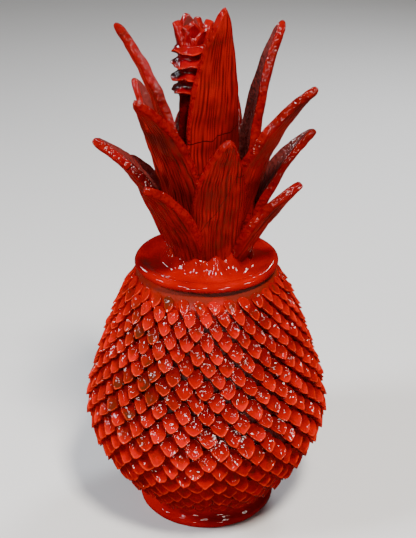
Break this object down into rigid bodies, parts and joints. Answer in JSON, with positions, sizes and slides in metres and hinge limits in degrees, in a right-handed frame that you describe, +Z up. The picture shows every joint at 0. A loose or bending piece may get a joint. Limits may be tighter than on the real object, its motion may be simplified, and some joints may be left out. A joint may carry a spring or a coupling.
{
  "type": "glazed clay pineapple jar",
  "caption": "Standing lidded clay jar shaped as a pineapple, its body covered in pinched scales, with a crown of carved leaves on the lift-off lid.",
  "frame": {"origin": "middle of the foot's flat underside, on the jar's axis", "axes": "+Z up along the jar's axis to the tips of the crown, -Y towards the front leaf, +X to the right as the front is seen"},
  "size_m": [0.2341, 0.2351, 0.4952],
  "materials": {
    "jar_glaze": "glossy red lead-style glaze over carved clay, darker in the hollows",
    "lid_glaze": "glossy red glaze over cut and ribbed clay leaves, brown-black in the grooves"
  },
  "bodies": {
    "root": {"jar": "jar_glaze", "lid": "lid_glaze"}
  },
  "joints": []
}
